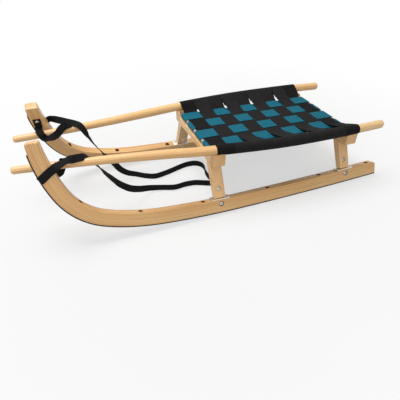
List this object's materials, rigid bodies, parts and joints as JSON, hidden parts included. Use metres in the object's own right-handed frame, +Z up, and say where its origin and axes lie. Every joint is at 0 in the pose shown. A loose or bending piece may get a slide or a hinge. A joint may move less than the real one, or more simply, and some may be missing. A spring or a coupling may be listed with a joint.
{
  "type": "wooden sled",
  "caption": "Wooden sled with bent steel-shod runners on flexing joints, trestles, round side rails, a woven webbing seat and a pull strap.",
  "frame": {"origin": "middle of the sled's length and width, on the ground", "axes": "-X is the way it travels, -Y is the rider's left, +Z is up"},
  "size_m": [1.1485, 0.4364, 0.3083],
  "materials": {
    "wood": "clear varnished ash, laminated in the runners",
    "spring_steel": "bare spring steel, dull",
    "zinc_steel": "zinc plated",
    "black_webbing": "woven polyester webbing",
    "teal_webbing": "woven polyester webbing"
  },
  "bodies": {
    "seat_frame": {"front_crossbeam": "wood", "rear_crossbeam": "wood", "side_rail_left": "wood", "front_leg_left": "wood", "front_tongue_left": "spring_steel", "front_leg_bolt_left": "zinc_steel", "front_leg_nut_left": "zinc_steel", "front_rail_screw_left": "zinc_steel", "rear_leg_left": "wood", "rear_tongue_left": "spring_steel", "rear_leg_bolt_left": "zinc_steel", "rear_leg_nut_left": "zinc_steel", "rear_rail_screw_left": "zinc_steel", "side_rail_right": "wood", "front_leg_right": "wood", "front_tongue_right": "spring_steel", "front_leg_bolt_right": "zinc_steel", "front_leg_nut_right": "zinc_steel", "front_rail_screw_right": "zinc_steel", "rear_leg_right": "wood", "rear_tongue_right": "spring_steel", "rear_leg_bolt_right": "zinc_steel", "rear_leg_nut_right": "zinc_steel", "rear_rail_screw_right": "zinc_steel", "front_webbing_bar": "spring_steel", "rear_webbing_bar": "spring_steel", "cross_band_1": "black_webbing", "cross_band_2": "black_webbing", "cross_band_3": "black_webbing", "cross_band_4": "black_webbing", "cross_band_5": "black_webbing", "cross_band_6": "black_webbing", "cross_band_7": "black_webbing", "cross_band_8": "black_webbing", "cross_band_9": "black_webbing", "long_band_1": "teal_webbing", "long_band_2": "teal_webbing", "long_band_3": "teal_webbing", "long_band_4": "teal_webbing", "pull_strap": "black_webbing", "horn_loop_left": "black_webbing", "horn_loop_right": "black_webbing"},
    "runner_left_body": {"runner_left": "wood", "steel_strip_left": "spring_steel", "strap_screw_left": "zinc_steel", "front_foot_plate_left": "zinc_steel", "front_runner_bolt_left": "zinc_steel", "front_runner_nut_left": "zinc_steel", "rear_foot_plate_left": "zinc_steel", "rear_runner_bolt_left": "zinc_steel", "rear_runner_nut_left": "zinc_steel"},
    "runner_right_body": {"runner_right": "wood", "steel_strip_right": "spring_steel", "strap_screw_right": "zinc_steel", "front_foot_plate_right": "zinc_steel", "front_runner_bolt_right": "zinc_steel", "front_runner_nut_right": "zinc_steel", "rear_foot_plate_right": "zinc_steel", "rear_runner_bolt_right": "zinc_steel", "rear_runner_nut_right": "zinc_steel"}
  },
  "joints": [
    {"name": "runner_left_tilt", "type": "hinge", "parent": "seat_frame", "child": "runner_left_body", "pos_m": [0.2128, -0.1895, 0.04949], "axis": [1, 0, 0], "range_deg": [-3, 3], "stiffness_Nm_per_rad": 80, "deforming": ["pull_strap", "horn_loop_left"]},
    {"name": "runner_right_tilt", "type": "hinge", "parent": "seat_frame", "child": "runner_right_body", "pos_m": [0.2128, 0.1895, 0.04949], "axis": [1, 0, 0], "range_deg": [-3, 3], "stiffness_Nm_per_rad": 80, "deforming": ["horn_loop_right"]}
  ]
}
